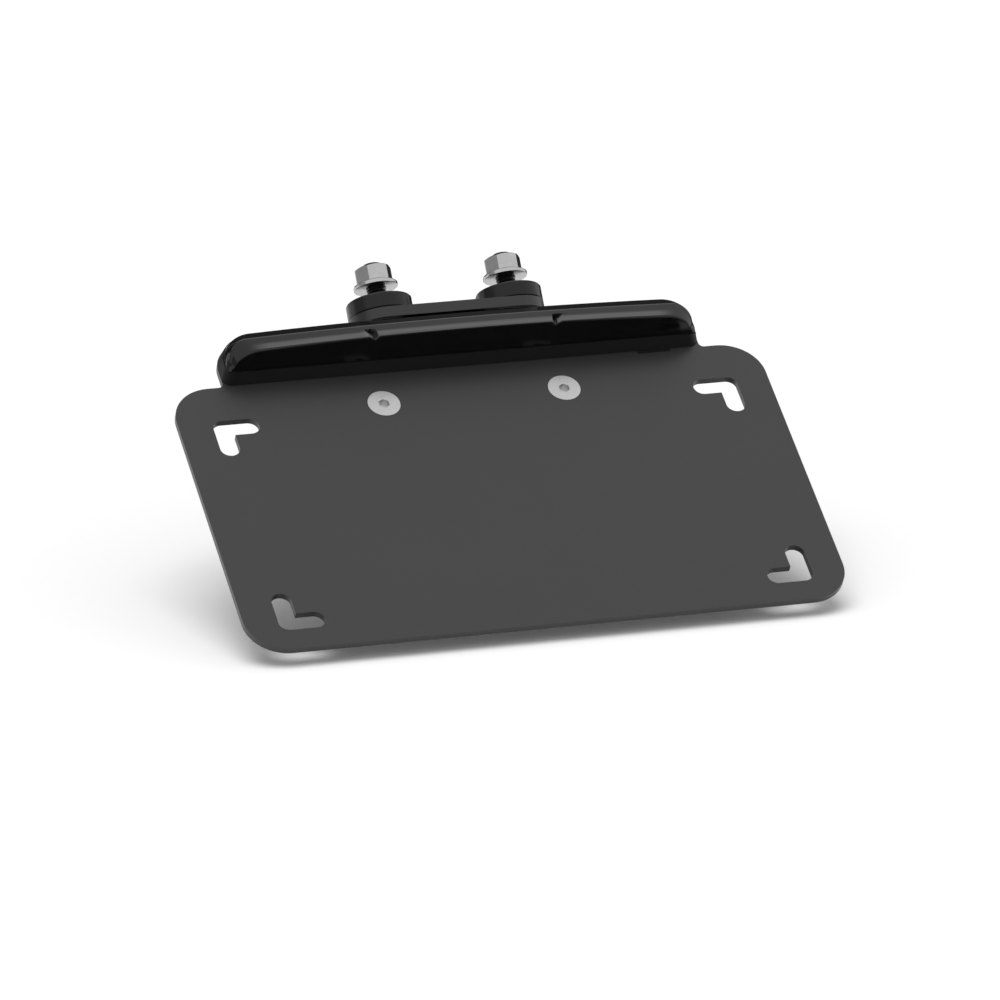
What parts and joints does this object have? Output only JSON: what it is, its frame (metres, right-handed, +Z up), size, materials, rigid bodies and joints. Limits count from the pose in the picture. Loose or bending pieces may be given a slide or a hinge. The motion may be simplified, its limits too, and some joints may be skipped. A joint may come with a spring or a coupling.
{
  "type": "number plate carrier with light bar",
  "caption": "Flat number-plate carrier for a motorcycle tail, with L-shaped slots, a bowed smoked light bar above it and a two-stud bracket with spacers and flange nuts.",
  "frame": {"origin": "midway between the two studs, on the spacers' top face, where the tail bracket is clamped", "axes": "+Z up along the studs, +X to the carrier's right seen from behind the motorcycle, +Y forward under the tail; the plate hangs down and leans back 24 degrees from the stud axis"},
  "size_m": [0.185, 0.0596, 0.133],
  "materials": {
    "plate_coat": "satin powder coat",
    "bracket_coat": "satin powder coat",
    "housing_plastic": "fine matt moulding",
    "lens_smoke": "polished",
    "gasket_rubber": "matt",
    "board_mask": "satin solder mask",
    "emitter_body": "clear resin over phosphor",
    "baffle_plastic": "matt",
    "screw_zinc": "bright zinc",
    "stud_black": "black oxide",
    "spacer_black": "black anodised, turned",
    "nut_zinc": "bright zinc",
    "grommet_rubber": "matt"
  },
  "bodies": {
    "root": {"plate_carrier": "plate_coat", "mounting_bracket": "bracket_coat", "lightbar_housing": "housing_plastic", "lightbar_lens": "lens_smoke", "lens_gasket": "gasket_rubber", "led_board": "board_mask", "led_emitters": "emitter_body", "light_baffle_left": "baffle_plastic", "light_baffle_right": "baffle_plastic", "lightbar_screw_left": "screw_zinc", "lightbar_screw_right": "screw_zinc", "cable_grommet": "grommet_rubber", "plate_screw_left": "screw_zinc", "plate_screw_right": "screw_zinc", "plate_nut_left": "nut_zinc", "plate_nut_right": "nut_zinc", "stud_screw_left": "stud_black", "stud_screw_right": "stud_black", "spacer_left": "spacer_black", "spacer_right": "spacer_black", "flange_nut_left": "nut_zinc", "flange_nut_right": "nut_zinc"}
  },
  "joints": []
}
